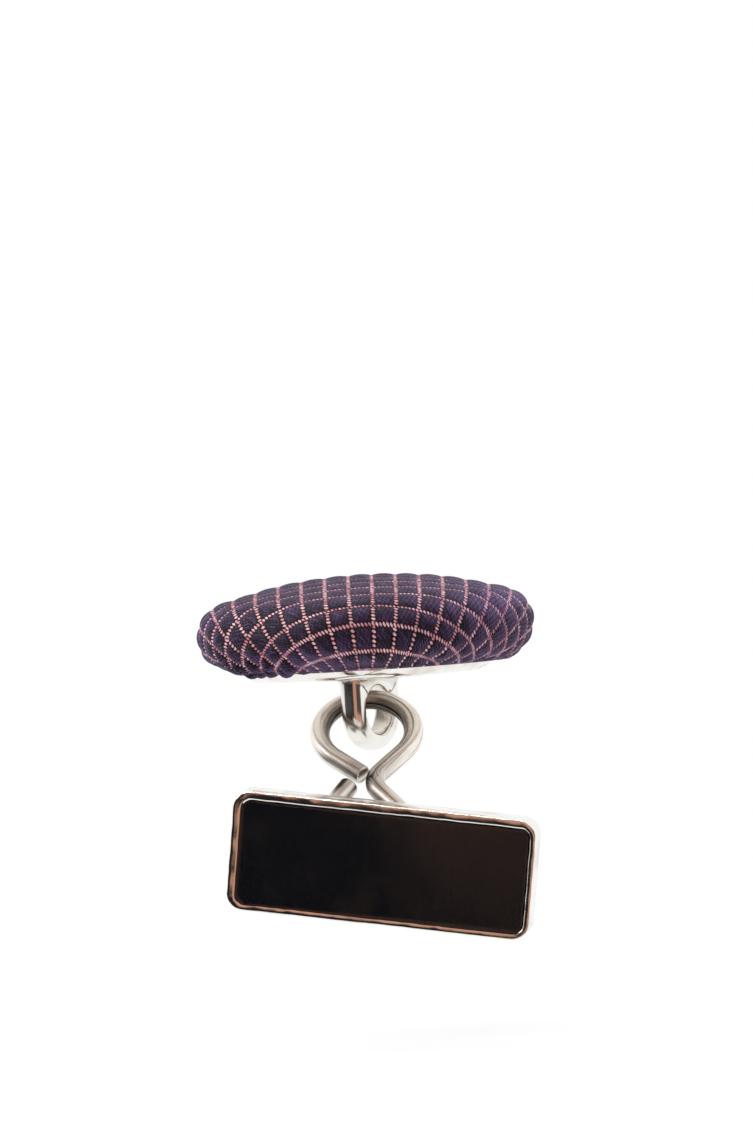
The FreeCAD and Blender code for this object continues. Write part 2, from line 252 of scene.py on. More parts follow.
# One row of pink floats along a check line, each float a small lozenge lying across the line.
def makeCheckRow():
    value = "NodeSocketFloat"
    group, given, result = newGroup(
        "checkRow",
        {
            "Across": (value, 0.0),
            "Along": (value, 0.0),
            "Spacing": (value, 1.4),
            "Start": (value, 0.0),
            "Float spacing": (value, 0.28),
            "Half across": (value, 0.1),
            "Half along": (value, 0.08),
            "Slant": (value, 0.0),
        },
        ["Mask", "Height", "Tone", "Valley shade", "Near"],
    )
    fromStart = calc(group, "SUBTRACT", given["Across"], given["Start"])
    cells = calc(group, "DIVIDE", fromStart, given["Spacing"])
    line = calc(group, "ROUND", cells)
    offLine = calc(group, "MULTIPLY", calc(group, "SUBTRACT", cells, line), given["Spacing"])
    leaning = calc(group, "MULTIPLY_ADD", offLine, given["Slant"], given["Along"])
    floats = calc(group, "DIVIDE", leaning, given["Float spacing"])
    steps = calc(group, "MULTIPLY_ADD", line, silk["rowStagger"], floats)
    stitch = calc(group, "ROUND", steps)
    offStitch = calc(group, "MULTIPLY", calc(group, "SUBTRACT", steps, stitch), given["Float spacing"])
    chance = chanceAt(group, line, stitch)
    grow = remap(group, chance, 0.0, 1.0, *silk["floatSpread"], False)
    aside = calc(group, "ABSOLUTE", offLine)
    wide = calc(group, "DIVIDE", aside, calc(group, "MULTIPLY", given["Half across"], grow))
    tall = calc(group, "DIVIDE", calc(group, "ABSOLUTE", offStitch), given["Half along"])
    power = silk["lozengePower"]
    both = calc(group, "ADD", calc(group, "POWER", wide, power), calc(group, "POWER", tall, power))
    far = calc(group, "POWER", both, 1 / power)  # 0 in the middle of a float, 1 on its edge
    dome = calc(group, "SUBTRACT", 1.0, calc(group, "MULTIPLY", far, far))
    feedAll(group, result, {
        "Mask": remap(group, far, *silk["floatEdge"]),
        "Height": calc(group, "MAXIMUM", dome, 0.0),
        "Tone": chance,
        # painted shade in the valley beside the row
        "Valley shade": remap(group, aside, *silk["gapReach"]),
        "Near": remap(group, aside, silk["rowWidth"], silk["rowWidth"] * 0.6),
    })
    return group


def makeSilkMaterial():
    material, tree, shader = newMaterial("checkedSilk")
    checkRow = makeCheckRow()
    cloth = attributeAt(tree, "cloth")["Vector"]
    parts = splitParts(tree, cloth)
    across, deep = parts["X"], parts["Y"]
    fromCrown = addNode(tree, "ShaderNodeVectorMath", {0: cloth}, operation="LENGTH").outputs["Value"]
    deepRow = placeGroup(tree, checkRow, {
        "Across": across,
        "Along": deep,
        "Spacing": silk["cellAcross"],
        "Start": silk["lineStartAcross"],
        **silk["deepFloat"],
    })
    crossRow = placeGroup(tree, checkRow, {
        "Across": deep,
        "Along": across,
        "Spacing": silk["cellDeep"],
        "Start": silk["lineStartDeep"],
        "Half across": remap(tree, fromCrown, *silk["crownEnd"], *silk["crossReach"]),
        **silk["crossFloat"],
    })
    # twill: fine slanting floats that break up along their length
    slant = calc(tree, "MULTIPLY_ADD", deep, silk["twillLean"], across)
    wobble = noiseAt(tree, cloth, scale=0.9, detail=1.0)
    slant = calc(tree, "MULTIPLY_ADD", wobble, silk["twillWobble"], slant)
    slant = calc(tree, "DIVIDE", slant, silk["twillSpacing"])
    rib = calc(tree, "ROUND", slant)
    offRib = calc(tree, "ABSOLUTE", calc(tree, "SUBTRACT", slant, rib))
    along = calc(tree, "MULTIPLY_ADD", across, -silk["twillLean"], deep)
    runs = calc(tree, "MULTIPLY", along, silk["runsPerMm"])
    runs = calc(tree, "MULTIPLY_ADD", rib, silk["ribStagger"], runs)
    runChance = chanceAt(tree, rib, calc(tree, "FLOOR", runs))
    offRun = calc(tree, "ABSOLUTE", calc(tree, "SUBTRACT", calc(tree, "FRACT", runs), 0.5))
    ridge = remap(tree, offRib, *silk["ribEdge"])
    ridge = calc(tree, "MULTIPLY", ridge, remap(tree, offRun, *silk["runEdge"]))
    tone = calc(tree, "MULTIPLY_ADD", runChance, silk["runTone"], 1 - silk["runTone"])
    cloud = remap(tree, noiseAt(tree, cloth, scale=0.7, detail=2.0), 0.3, 0.7, *silk["cloudTone"])
    lit = calc(tree, "MULTIPLY", calc(tree, "MULTIPLY", ridge, tone), cloud)
    # colour: dark ground, lighter ribs, and painted shade in the valleys beside the pink rows
    gap = calc(tree, "MAXIMUM", deepRow["Valley shade"], crossRow["Valley shade"])
    ground = blendColours(tree, calc(tree, "POWER", lit, 2.0), silk["ground"], silk["thread"])
    ground = blendColours(tree, calc(tree, "MULTIPLY", gap, silk["valleyShadeDepth"]), ground, silk["gap"])
    clear = calc(tree, "SUBTRACT", 1.0, crossRow["Near"])  # where the rows cross, only one of them shows
    pink = calc(tree, "MAXIMUM", calc(tree, "MULTIPLY", deepRow["Mask"], clear), crossRow["Mask"])
    rowHeight = calc(tree, "MAXIMUM", calc(tree, "MULTIPLY", deepRow["Height"], clear), crossRow["Height"])
    pinkTone = calc(tree, "MULTIPLY", calc(tree, "ADD", deepRow["Tone"], crossRow["Tone"]), 0.5)
    pinkColour = blendColours(tree, remap(tree, pinkTone, 0.15, 0.85), silk["pinkDeep"], silk["pinkPale"])
    # the floats darken towards their edges as their domes fall away: painted shade
    pinkColour = blendColours(tree, remap(tree, rowHeight, 0.0, 0.45), silk["pinkEdgeShade"], pinkColour)
    height = calc(tree, "MULTIPLY", ridge, silk["ribRelief"])
    height = calc(tree, "MULTIPLY_ADD", rowHeight, silk["rowRelief"], height)
    feedAll(tree, shader, {
        "Base Color": blendColours(tree, pink, ground, pinkColour),
        "Roughness": remap(tree, lit, 0.0, 0.8, *silk["rough"]),
        "Normal": bumpFrom(tree, height, strength=0.9, depth=silk["relief"]),
        "Specular IOR Level": 0.18,
        "Sheen Weight": 0.45,
        "Sheen Roughness": 0.16,
        "Sheen Tint": silk["sheen"],
    })
    return material


# Fine marks that polishing and wear leave: a soft unevenness, thin scratches and cloudy patches.
polish = {"scratchTurn": (0.4, 0.7, 0.3), "scratchScale": (9000, 700, 700), "cloudScale": 420.0}


def makePolishMarks():
    value = "NodeSocketFloat"
    group, given, result = newGroup(
        "polishMarks",
        {"Vector": ("NodeSocketVector", (0, 0, 0)), "Wave": (value, 900.0), "Scratches": (value, 0.2)},
        ["Height", "Wear"],
    )
    place = given["Vector"]
    wave = noiseAt(group, place, given["Wave"], detail=1.5)
    terms = {"Vector": place, "Rotation": polish["scratchTurn"], "Scale": polish["scratchScale"]}
    stretched = addNode(group, "ShaderNodeMapping", terms).outputs[0]
    thin = remap(group, noiseAt(group, stretched, scale=1.0, detail=3.0), 0.62, 0.72)
    cuts = calc(group, "MULTIPLY", thin, given["Scratches"])
    cloudy = remap(group, noiseAt(group, place, polish["cloudScale"], detail=4.0), 0.45, 0.75)
    feedAll(group, result, {
        "Height": calc(group, "SUBTRACT", wave, cuts),
        "Wear": calc(group, "MULTIPLY_ADD", cuts, 0.6, cloudy),
    })
    return group


polishMarks = makePolishMarks()


def marksOn(tree, wave, scratches):
    return placeGroup(tree, polishMarks, {"Vector": objectPlace(tree), "Wave": wave, "Scratches": scratches})


silver = {"tint": ink(243, 240, 235), "worn": ink(222, 214, 204), "scratches": 0.15}


def makeSilverMaterial(name, wave, waveHeight, smooth, rough):
    material, tree, shader = newMaterial(name)
    marks = marksOn(tree, wave, silver["scratches"])
    feedAll(tree, shader, {
        "Base Color": blendColours(tree, marks["Wear"], silver["tint"], silver["worn"]),
        "Roughness": remap(tree, marks["Wear"], 0.0, 1.0, smooth, rough),
        "Normal": bumpFrom(tree, marks["Height"], strength=1.0, depth=waveHeight),
        "Metallic": 1.0,
    })
    return material


# Satin wire: drawn lines run along it, and painted shade with some tarnish darkens the sides that look
# inwards and the part that rubs in the button's eye.
wireFinish = {
    "pale": ink(250, 242, 232),
    # colour of the painted shade and tarnish
    "shadeAndTarnish": ink(40, 31, 25),
    "rough": (0.34, 0.42),
    "wave": 900.0,
    "scratches": 0.1,
    "linesRound": 4.5,
    "linesAlong": 160.0,
    "lineDepth": 0.5,
    "cloudDepth": 0.16,
    "relief": 0.012,
}


def makeWireMaterial():
    material, tree, shader = newMaterial("wireSilver")
    marks = marksOn(tree, wireFinish["wave"], wireFinish["scratches"])
    wire = splitParts(tree, attributeAt(tree, "wire")["Vector"])
    spot = splitParts(tree, objectPlace(tree))
    streakPlace = addNode(tree, "ShaderNodeCombineXYZ", {
        "X": calc(tree, "MULTIPLY", wire["X"], wireFinish["linesRound"]),
        "Y": calc(tree, "MULTIPLY", spot["X"], wireFinish["linesAlong"]),
        "Z": calc(tree, "MULTIPLY", spot["Z"], wireFinish["linesAlong"]),
    }).outputs[0]
    streak = noiseAt(tree, streakPlace, scale=1.0, detail=3.0)
    # worn carries the painted shade and tarnish from the mesh, then the drawn lines and the polish wear
    worn = calc(tree, "MULTIPLY", wire["Y"], remap(tree, streak, 0.3, 0.7, 1.0, 0.7))
    worn = calc(tree, "MULTIPLY_ADD", remap(tree, streak, 0.56, 0.62), wireFinish["lineDepth"], worn)
    worn = calc(tree, "MULTIPLY_ADD", marks["Wear"], wireFinish["cloudDepth"], worn)
    worn = calc(tree, "MINIMUM", worn, 1.0)
    height = calc(tree, "MULTIPLY_ADD", streak, 0.6, marks["Height"])
    feedAll(tree, shader, {
        "Base Color": blendColours(tree, worn, wireFinish["pale"], wireFinish["shadeAndTarnish"]),
        "Roughness": remap(tree, worn, 0.0, 1.0, *wireFinish["rough"]),
        "Normal": bumpFrom(tree, height, strength=1.0, depth=wireFinish["relief"]),
        "Metallic": 1.0,
    })
    return material


enamelFinish = {
    "dark": ink(12, 12, 14),
    "worn": ink(20, 17, 17),
    "rough": (0.03, 0.12),
    "wave": 160.0,
    "scratches": 0.04,
    "relief": 0.06,
}


def makeEnamelMaterial():
    material, tree, shader = newMaterial("blackEnamel")
    marks = marksOn(tree, enamelFinish["wave"], enamelFinish["scratches"])
    feedAll(tree, shader, {
        "Base Color": blendColours(tree, marks["Wear"], enamelFinish["dark"], enamelFinish["worn"]),
        "Roughness": remap(tree, marks["Wear"], 0.0, 1.0, *enamelFinish["rough"]),
        "Normal": bumpFrom(tree, marks["Height"], strength=0.6, depth=enamelFinish["relief"]),
        "IOR": 1.5,
    })
    return material


# Layers inside the button, which keep the shapes of their nodes.
innerFinishes = {
    "cover_lining": {
        "name": "cottonLining",
        "dark": ink(206, 200, 190),
        "pale": ink(236, 232, 224),
        "grainScale": 4000.0,
        "rough": 0.9,
        "metallic": 0.0,
    },
    "button_shell": {
        "name": "pressedBrass",
        "dark": ink(176, 138, 70),
        "pale": ink(206, 170, 96),
        "grainScale": 900.0,
        "rough": 0.4,
        "metallic": 1.0,
    },
    "button_core": {
        "name": "fibreCore",
        "dark": ink(120, 98, 74),
        "pale": ink(158, 134, 104),
        "grainScale": 2500.0,
        "rough": 0.95,
        "metallic": 0.0,
    },
}


def makeInnerMaterial(finish):
    material, tree, shader = newMaterial(finish["name"])
    grain = noiseAt(tree, objectPlace(tree), finish["grainScale"], detail=5.0)
    feedAll(tree, shader, {
        "Base Color": blendColours(tree, remap(tree, grain, 0.3, 0.7), finish["dark"], finish["pale"]),
        "Roughness": remap(tree, grain, 0.3, 0.7, finish["rough"], finish["rough"] * 0.7),
        "Normal": bumpFrom(tree, grain, strength=0.5, depth=0.05),
        "Metallic": finish["metallic"],
    })
    return material


silkMaterial = makeSilkMaterial()
plateSilver = makeSilverMaterial("plateSilver", wave=700.0, waveHeight=0.035, smooth=0.08, rough=0.2)
lugSilver = makeSilverMaterial("lugSilver", wave=900.0, waveHeight=0.012, smooth=0.2, rough=0.32)
wireSilver = makeWireMaterial()
traySilver = makeSilverMaterial("traySilver", wave=1800.0, waveHeight=0.006, smooth=0.12, rough=0.24)
enamelMaterial = makeEnamelMaterial()
for nodeName, finish in innerFinishes.items():
    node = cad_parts[nodeName]
    node.data.materials.clear()
    node.data.materials.append(makeInnerMaterial(finish))
print("materials made")

# Covered button: the line from the crown to the hem, turned round, then puffed cell by cell and gathered.
# Runs are lengths of cloth from the crown. Fronts are degrees round the button: 0 faces the camera, and
# minus lies to its left. Where the cloth is gathered, the tuck starts and ends later.
cover = {
    "width": 20.0,
    "height": 6.0,
    "widest": 2.85,
    "shoulder": 2.1,
    "bottom": 0.5,
    "hemRadius": 6.3,
    "rings": 112,
    "turns": 400,
    "thickness": 0.22,
    "flatWidth": 32.7,
    "easedDeep": 0.73,
    "easedFrom": (-11.2, -8.8),
    "hemDraw": 0.45,
    "hemDrawFrom": (-14.4, -12.7),
    "wander": 0.16,
    "wanderScale": 0.35,
    "looseRuns": (10.0, 13.5),
    "puff": 0.11,
    "edgePuff": 0.14,
    "edgeRuns": (7.0, 12.0),
    "cellPower": 0.65,
    "cellSink": 0.45,
    "gatherPuff": 0.44,
    "gatherFronts": ((-72, -60), (-32, -22)),
    "gatherRuns": (11.8, 13.4),
    "tuckStart": 0.9,
    "tuckEnd": 0.1,
    "lateStart": 0.8,
    "lateEnd": 0.7,
    "pleat": 0.12,
    "pleatScale": 9,
    "pleatStretch": 0.25,
    "pleatRuns": (12.4, 13.8),
    "sideDraw": 0.1,
    "drawnRuns": ((4.5, 8.0), (8.8, 11.0)),
    "drawnFronts": ((35, 75), (115, 150)),
    "lift": 0.24,
    "rightLift": 0.01,
    "rightFronts": (20, 50),
    "liftEnd": (95, 130),
    "liftRuns": (12.2, 14.2),
}
underRadius = cover["widest"] - cover["bottom"]
underAcross = cover["width"] / 2 - underRadius
shoulderAcross = cover["width"] / 2 - cover["shoulder"]
rise = cover["height"] - cover["widest"]
crownRadius = (shoulderAcross**2 + rise**2 - cover["shoulder"] ** 2) / (2 * (rise - cover["shoulder"]))
crownMiddle = cover["height"] - crownRadius
crownAngle = math.atan2(shoulderAcross, cover["widest"] - crownMiddle)
crownRun = crownRadius * crownAngle
shoulderRun = crownRun + cover["shoulder"] * (math.pi / 2 - crownAngle)
underRun = shoulderRun + underRadius * math.pi / 2
hemRun = underRun + underAcross - cover["hemRadius"]


def coverLine(run):  # radius, height and outward direction at a run of cloth from the crown
    if run < crownRun:
        angle = run / crownRadius
        across, up, radius = 0.0, crownMiddle, crownRadius
    elif run < shoulderRun:
        angle = crownAngle + (run - crownRun) / cover["shoulder"]
        across, up, radius = shoulderAcross, cover["widest"], cover["shoulder"]
    elif run < underRun:
        angle = math.pi / 2 + (run - shoulderRun) / underRadius
        across, up, radius = underAcross, cover["widest"], underRadius
    else:
        return underAcross - (run - underRun), cover["bottom"], 0.0, -1.0
    outX, outZ = math.sin(angle), math.cos(angle)
    return across + radius * outX, up + radius * outZ, outX, outZ


def clothPlace(run, turn):  # where a point of the button lies on the flat cloth
    across, deep = run * math.cos(turn), run * math.sin(turn)
    deep += cover["easedDeep"] * smoothStep(*cover["easedFrom"], deep)  # closer over the front shoulder
    deep += cover["hemDraw"] * (1 - smoothStep(*cover["hemDrawFrom"], deep))  # drawn under at the hem
    loose = cover["wander"] * smoothStep(*cover["looseRuns"], run)
    scale = cover["wanderScale"]
    wander = noise.noise_vector(Vector((across * scale, deep * scale, 4.0)))
    return across + loose * wander.x, deep + loose * wander.y


def clothSwell(run, turn, across, deep):  # how far the cloth stands out from the plain line
    front = (math.degrees(turn) + 90 + 180) % 360 - 180
    gather = within(*cover["gatherFronts"], front) * smoothStep(*cover["gatherRuns"], run)
    inCell = abs(math.sin(math.pi * (across - silk["lineStartAcross"]) / silk["cellAcross"]))
    inCell *= abs(math.sin(math.pi * (deep - silk["lineStartDeep"]) / silk["cellDeep"]))
    puff = cover["puff"] + (cover["edgePuff"] - cover["puff"]) * smoothStep(*cover["edgeRuns"], run)
    puff += (cover["gatherPuff"] - puff) * gather
    tuckStart = underRun - cover["tuckStart"] + cover["lateStart"] * gather
    tuckEnd = underRun - cover["tuckEnd"] + cover["lateEnd"] * gather
    tucked = 1 - smoothStep(tuckStart, tuckEnd, run)
    way = Vector((math.cos(turn), math.sin(turn), 0)) * cover["pleatScale"]
    pleat = noise.noise(way + Vector((0, 0, run * cover["pleatStretch"])))
    drawn = within(*cover["drawnRuns"], run) * within(*cover["drawnFronts"], abs(front))
    lifted = cover["lift"] + (cover["rightLift"] - cover["lift"]) * smoothStep(*cover["rightFronts"], front)
    lifted *= (1 - smoothStep(*cover["liftEnd"], abs(front))) * (1 - gather)
    out = puff * (inCell ** cover["cellPower"] - cover["cellSink"]) * tucked
    out += cover["pleat"] * pleat * smoothStep(*cover["pleatRuns"], run) * tucked
    out -= cover["sideDraw"] * drawn
    out -= lifted * smoothStep(*cover["liftRuns"], run) * tucked
    return max(out, -cover["lift"])


def makeCover():
    bm = bmesh.new()
    runLayer = bm.verts.layers.float.new("run")
    clothLayer = bm.verts.layers.float_vector.new("cloth")
    line = []
    for step in range(cover["rings"] + 1):
        run = hemRun * step / cover["rings"]
        radius, height, _, _ = coverLine(run)
        vert = bm.verts.new((radius, 0, height))
        vert[runLayer] = run
        line.append(vert)
    turnRound(bm, line, cover["turns"])
    for vert in bm.verts:
        run = vert[runLayer]
        turn = math.atan2(vert.co.y, vert.co.x)
        across, deep = clothPlace(run, turn)
        vert[clothLayer] = (across, deep, 0)
        out = clothSwell(run, turn, across, deep)
        radius, height, outX, outZ = coverLine(run)
        reach = radius + out * outX
        vert.co = Vector((reach * math.cos(turn), reach * math.sin(turn), height + out * outZ))
    piece = finishPiece("silk_cover_cloth", bm, Matrix(), silkMaterial, "button", "silk_cover")
    wall = piece.modifiers.new("clothWall", "SOLIDIFY")
    wall.thickness = cover["thickness"] * mm
    wall.offset = -1


makeCover()

# Back plate: a turned profile with a softly uneven dish.
plate = {
    "seat": 6.3,
    "edge": 7.4,
    "lip": 0.06,
    "rise": 0.5,
    "dishTrim": 0.02,
    "boss": 3.4,
    "bossDrop": 0.15,
    "bossRound": 0.1,
    "bossFoot": 0.05,
    "spigot": 6.2,
    "spigotWall": 0.5,
    "spigotTop": 1.55,
    "turns": 192,
    "uneven": 0.045,
    "unevenScale": 1.9,
    "unevenFrom": (-0.4, 0.2),  # across, counted from the seat
    "sharpAngle": 50,
}


def plateLine():  # from the middle of the boss, round the dish and spigot, back to the axis
    rise, boss, seat = plate["rise"], plate["boss"], plate["seat"]
    run = plate["edge"] - seat
    dish = (run**2 + rise**2) / (2 * rise)
    sweep = math.asin(run / dish)
    drop, shoulder = plate["bossDrop"], plate["bossRound"]
    line = [(0, -drop)]
    for step in range(7):  # soft shoulder of the boss
        a = math.pi / 2 * step / 6
        line.append((boss - shoulder * (1 - math.sin(a)), shoulder * (1 - math.cos(a)) - drop))
    line.append((boss + plate["bossFoot"], 0))
    line += [(boss + (seat - boss) * share, 0) for share in (0.25, 0.5, 0.75, 0.95)]
    for step in range(11):
        a = sweep * step / 10
        line.append((seat + (dish - plate["dishTrim"]) * math.sin(a), dish - dish * math.cos(a)))
    inside = plate["spigot"] - plate["spigotWall"]
    line += [(plate["edge"] - plate["lip"], rise), (plate["spigot"], rise)]
    line += [(plate["spigot"], plate["spigotTop"]), (inside, plate["spigotTop"])]
    return line + [(inside, rise), (0, rise)]


def makePlate():
    bm = bmesh.new()
    turnRound(bm, [bm.verts.new((across, 0, up)) for across, up in plateLine()], plate["turns"])
    scale = plate["unevenScale"]
    for vert in bm.verts:
        onDish = smoothStep(*plate["unevenFrom"], vert.co.xy.length - plate["seat"])
        if vert.co.z < plate["rise"] - 0.01:  # the flat top stays flat
            waver = noise.noise(Vector((vert.co.x * scale, vert.co.y * scale, 2.0)))
            vert.co.z += plate["uneven"] * onDish * waver
    piece = finishPiece("back_plate_dish", bm, Matrix(), plateSilver, "button", "back_plate")
    piece.data.set_sharp_from_angle(angle=math.radians(plate["sharpAngle"]))


makePlate()

# Eyed lug: an eye ring bridged to the outline, thickened and rounded.
lug = {
    "width": 4.8,
    "thick": 1.5,
    "eye": 2.9,
    "drop": 1.9,
    "round": 0.6,
    "eyeRound": 0.25,
    "turn": -33,
    "points": 96,
}


def makeLug(name, place, thick, edgeRound, body, node):
    bm = bmesh.new()
    half = lug["width"] / 2
    facing = Matrix.Translation((0, 0, -lug["drop"])) @ Matrix.Rotation(math.pi / 2, 4, "Y")
    bmesh.ops.create_circle(bm, segments=lug["points"], radius=lug["eye"] / 2, matrix=facing)
    rim = bmesh.ops.create_circle(bm, segments=lug["points"], radius=half, matrix=facing)["verts"]
    for vert in rim:  # the upper half reaches out to the straight sides and the root
        up = vert.co.z + lug["drop"]
        if up > close:
            reach = min(half / max(abs(vert.co.y), close), lug["drop"] / up)
            vert.co.y *= reach
            vert.co.z = -lug["drop"] + up * reach
    for root in (Vector((0, -half, 0)), Vector((0, half, 0))):
        corner = min(rim, key=lambda vert: (vert.co - root).length)
        corner.co = root
    bmesh.ops.bridge_loops(bm, edges=bm.edges[:])
    bmesh.ops.translate(bm, verts=bm.verts, vec=(-thick / 2, 0, 0))
    grown = bmesh.ops.extrude_face_region(bm, geom=bm.faces[:])["geom"]
    bmesh.ops.translate(bm, verts=vertsIn(grown), vec=(thick, 0, 0))
    bmesh.ops.recalc_face_normals(bm, faces=bm.faces)

    def ringEdges(nearEye):  # the sharp edges round the eye, or round the outline without its root
        found = []
        for edge in bm.edges:
            one, two = edge.verts
            spans = [math.hypot(vert.co.y, vert.co.z + lug["drop"]) for vert in edge.verts]
            onEye = all(abs(span - lug["eye"] / 2) < close for span in spans)
            atRoot = min(one.co.z, two.co.z) > -close
            outer = min(spans) > half - close and not atRoot
            sharp = edge.is_manifold and edge.calc_face_angle() > 1
            if abs(one.co.x - two.co.x) < close and sharp and (onEye if nearEye else outer):
                found.append(edge)
        return found

    roundEdges(bm, ringEdges(False), edgeRound, 7)
    roundEdges(bm, ringEdges(True), lug["eyeRound"], 6)
    weighted(finishPiece(name, bm, place, lugSilver, body, node))


lugTurn = Matrix.Rotation(math.radians(lug["turn"]), 4, "Z")
lugPlace = Matrix.Translation((0, 0, -plate["bossDrop"])) @ lugTurn
makeLug("button_lug_eye", lugPlace, lug["thick"], lug["round"], "button", "button_lug")

# Figure-eight link: one wire section carried along straights and round bends.
link = {
    "wire": 1.15,
    "length": 12.8,
    "waist": 7.0,
    "upperRadius": 2.78,
    "lowerRadius": 2.4,
    "lowerOffset": 0.5,
    "bendRadius": 1.2,
    "bendOffset": 0.33,
    "upperEnd": (-0.33, -6.35),
    "lowerEnd": (-1.17, -7.02),
    "endRound": 0.15,
    "lean": 47.0,
    "top": -1.42,
    "slide": 0.3,
    "sides": 40,
    "straightSteps": 3,
    "bendStep": 4.0,
    "eyeReach": (0.9, 3.4),
    "waistReach": (0.5, 1.6),
    "stubReach": (0.8, 1.9),
    # strengths and spans of the wire's painted shade with some tarnish, and of the darkening round the waist
    "innerShade": 0.75,
    "innerFrom": (0.15, 0.9),
    "seatFrom": (-0.5, 0.7),
    "waistDark": 0.25,
    "stubShade": 1.3,
    "stubFrom": (-0.25, 0.35),
}
linkTurn = Matrix.Rotation(math.radians(90 - link["lean"]), 4, "X")
linkPlace = Matrix.Translation((-link["slide"], 0, link["top"])) @ linkTurn
upperMiddle = (0, -link["upperRadius"])
lowerMiddle = (-link["lowerOffset"], link["lowerRadius"] - link["length"])
bendMiddle = (link["bendOffset"] + link["bendRadius"], -link["waist"])


# Where a straight run leaves one bend and meets the next.
def touchPoints(centre, radius, other, otherRadius, side):
    gap = Vector(other) - Vector(centre)
    lean = side * math.acos((radius + otherRadius) / gap.length)
    unit = Matrix.Rotation(lean, 2) @ gap.normalized()
    return Vector(centre) + radius * unit, Vector(other) - otherRadius * unit


def wireStart(bm, begin, ahead):
    facing = ahead.to_3d().to_track_quat("Z", "Y").to_matrix().to_4x4()
    place = Matrix.Translation(begin.to_3d()) @ facing
    bmesh.ops.create_circle(bm, segments=link["sides"], radius=link["wire"] / 2, matrix=place)
    return bm.edges[:]


def wireStraight(bm, ring, begin, stop):
    for _ in range(link["straightSteps"]):
        made = bmesh.ops.extrude_edge_only(bm, edges=ring)["geom"]
        moved = set(vertsIn(made))
        bmesh.ops.translate(bm, verts=list(moved), vec=((stop - begin) / link["straightSteps"]).to_3d())
        ring = [edge for edge in edgesIn(made) if set(edge.verts) <= moved]
    return ring


def wireBend(bm, ring, centre, begin, stop, clockwise):
    first = math.atan2(begin.y - centre[1], begin.x - centre[0])
    last = math.atan2(stop.y - centre[1], stop.x - centre[0])
    angle = -((first - last) % (2 * math.pi)) if clockwise else (last - first) % (2 * math.pi)
    steps = max(8, round(abs(angle) / math.radians(link["bendStep"])))
    middle = (centre[0], centre[1], 0)
    made = bmesh.ops.spin(bm, geom=ring, cent=middle, axis=(0, 0, 1), angle=angle, steps=steps)
    return edgesIn(made["geom_last"])


def wireShadeAndWear(vert):  # painted shade, with some tarnish, on the inner sides, the seat in the button's eye and the lower stub's upper-left side; darker round the waist
    middle = Vector(upperMiddle if vert.co.y > -link["waist"] else lowerMiddle).to_3d()
    inward = vert.normal.dot((middle - vert.co).normalized())
    nearEye = 1 - smoothStep(*link["eyeReach"], vert.co.length)
    nearWaist = 1 - smoothStep(*link["waistReach"], abs(vert.co.y + link["waist"]))
    nearStub = 1 - smoothStep(*link["stubReach"], (vert.co.xy - Vector(link["lowerEnd"])).length)
    # inner sides and the eye's seat: painted shade for the loop's own shadow and dark reflections, with some
    # tarnish
    shadeLevel = link["innerShade"]
    inner = smoothStep(*link["innerFrom"], inward) * (shadeLevel + (1 - shadeLevel) * nearEye)
    seat = shadeLevel * nearEye * smoothStep(*link["seatFrom"], inward)
    # the lower stub's upper-left side: painted shade
    upLeft = 0.7 * (vert.normal.y - vert.normal.x)
    stub = link["stubShade"] * nearStub * smoothStep(*link["stubFrom"], upLeft)
    return inward, max(inner, seat, link["waistDark"] * nearWaist, stub)


def makeLink():
    begin, stop = Vector(link["upperEnd"]), Vector(link["lowerEnd"])
    upperLeft, _ = touchPoints(upperMiddle, link["upperRadius"], begin, 0, -1)
    upperRight, bendTop = touchPoints(upperMiddle, link["upperRadius"], bendMiddle, link["bendRadius"], 1)
    lowerRight, bendLow = touchPoints(lowerMiddle, link["lowerRadius"], bendMiddle, link["bendRadius"], -1)
    lowerLeft, _ = touchPoints(lowerMiddle, link["lowerRadius"], stop, 0, 1)
    bm = bmesh.new()
    ring = wireStart(bm, begin, (upperLeft - begin).normalized())
    ring = wireStraight(bm, ring, begin, upperLeft)
    ring = wireBend(bm, ring, upperMiddle, upperLeft, upperRight, True)
    ring = wireStraight(bm, ring, upperRight, bendTop)
    ring = wireBend(bm, ring, bendMiddle, bendTop, bendLow, False)
    ring = wireStraight(bm, ring, bendLow, lowerRight)
    ring = wireBend(bm, ring, lowerMiddle, lowerRight, lowerLeft, True)
    wireStraight(bm, ring, lowerLeft, stop)
    bmesh.ops.remove_doubles(bm, verts=bm.verts, dist=mergeGap)
    bmesh.ops.holes_fill(bm, edges=[edge for edge in bm.edges if edge.is_boundary], sides=0)
    bmesh.ops.recalc_face_normals(bm, faces=bm.faces)
    caps = [face for face in bm.faces if len(face.verts) == link["sides"]]
    roundEdges(bm, [edge for face in caps for edge in face.edges], link["endRound"], 5)
    wireLayer = bm.verts.layers.float_vector.new("wire")
    bm.normal_update()
    for vert in bm.verts:  # how far round the wire a point is, and how much painted shade and wear it carries
        inward, worn = wireShadeAndWear(vert)
        vert[wireLayer] = (math.atan2(inward, vert.normal.z), worn, 0)
    node = "figure_eight_link"
    weighted(finishPiece("figure_eight_wire", bm, linkPlace, wireSilver, "link", node))


makeLink()

